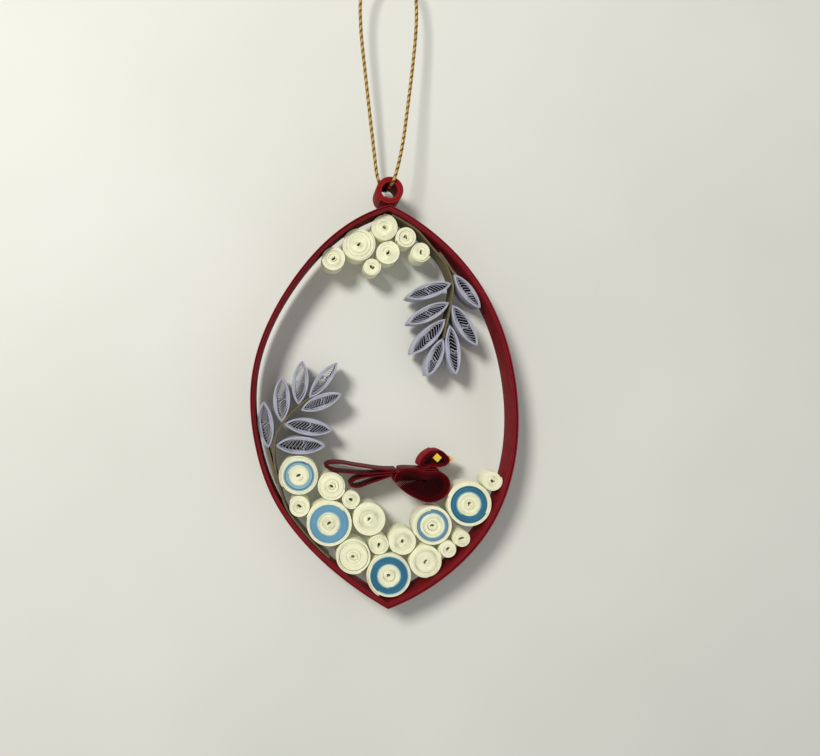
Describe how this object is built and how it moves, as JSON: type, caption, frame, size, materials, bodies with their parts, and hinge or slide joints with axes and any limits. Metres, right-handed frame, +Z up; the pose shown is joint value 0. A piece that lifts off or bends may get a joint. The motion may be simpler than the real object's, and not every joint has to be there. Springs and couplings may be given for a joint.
{
  "type": "quilled paper ornament",
  "caption": "Hanging lens-shaped ornament of quilled paper: a strip frame with rolled coils at both points, two leafy sprigs, a perched bird and a looped cord.",
  "frame": {"origin": "the inside top of the cord's loop, where a hook bears", "axes": "+Z up along the ornament's height, +X to the right seen from the front, the front faces -Y"},
  "size_m": [0.0726, 0.0112, 0.1834],
  "materials": {
    "red_paper": "matt, laminated strip",
    "ivory_paper": "matt, rolled strip edges",
    "blue_banded_paper": "matt, rolled strip edges in ivory and blue",
    "lavender_paper": "matt, loose strip edges",
    "olive_paper": "matt strip",
    "maroon_paper": "matt, rolled strip edges",
    "yellow_paper": "matt",
    "gold_cord": "metallic thread, twisted"
  },
  "bodies": {
    "root": {"bird_back": "maroon_paper", "bird_beak": "yellow_paper", "bird_body": "maroon_paper", "bird_eye": "yellow_paper", "bird_head": "maroon_paper", "blue_coil_1": "blue_banded_paper", "blue_coil_2": "blue_banded_paper", "blue_coil_3": "blue_banded_paper", "blue_coil_4": "blue_banded_paper", "blue_coil_5": "blue_banded_paper", "cord": "gold_cord", "cord_knot": "gold_cord", "frame": "red_paper", "hanger_ring": "red_paper", "left_leaf_1": "lavender_paper", "left_leaf_2": "lavender_paper", "left_leaf_3": "lavender_paper", "left_leaf_4": "lavender_paper", "left_leaf_5": "lavender_paper", "left_leaf_6": "lavender_paper", "left_leaf_7": "lavender_paper", "left_stem": "olive_paper", "left_twig": "olive_paper", "right_leaf_1": "lavender_paper", "right_leaf_2": "lavender_paper", "right_leaf_3": "lavender_paper", "right_leaf_4": "lavender_paper", "right_leaf_5": "lavender_paper", "right_leaf_6": "lavender_paper", "right_leaf_7": "lavender_paper", "right_stem": "olive_paper", "right_twig": "olive_paper", "tail_feather_lower": "maroon_paper", "tail_feather_upper": "maroon_paper", "top_coil_1": "ivory_paper", "top_coil_2": "ivory_paper", "top_coil_3": "ivory_paper", "top_coil_4": "ivory_paper", "top_coil_5": "ivory_paper", "top_coil_6": "ivory_paper", "top_coil_7": "ivory_paper", "white_coil_1": "ivory_paper", "white_coil_10": "ivory_paper", "white_coil_11": "ivory_paper", "white_coil_2": "ivory_paper", "white_coil_3": "ivory_paper", "white_coil_4": "ivory_paper", "white_coil_5": "ivory_paper", "white_coil_6": "ivory_paper", "white_coil_7": "ivory_paper", "white_coil_8": "ivory_paper", "white_coil_9": "ivory_paper"}
  },
  "joints": []
}
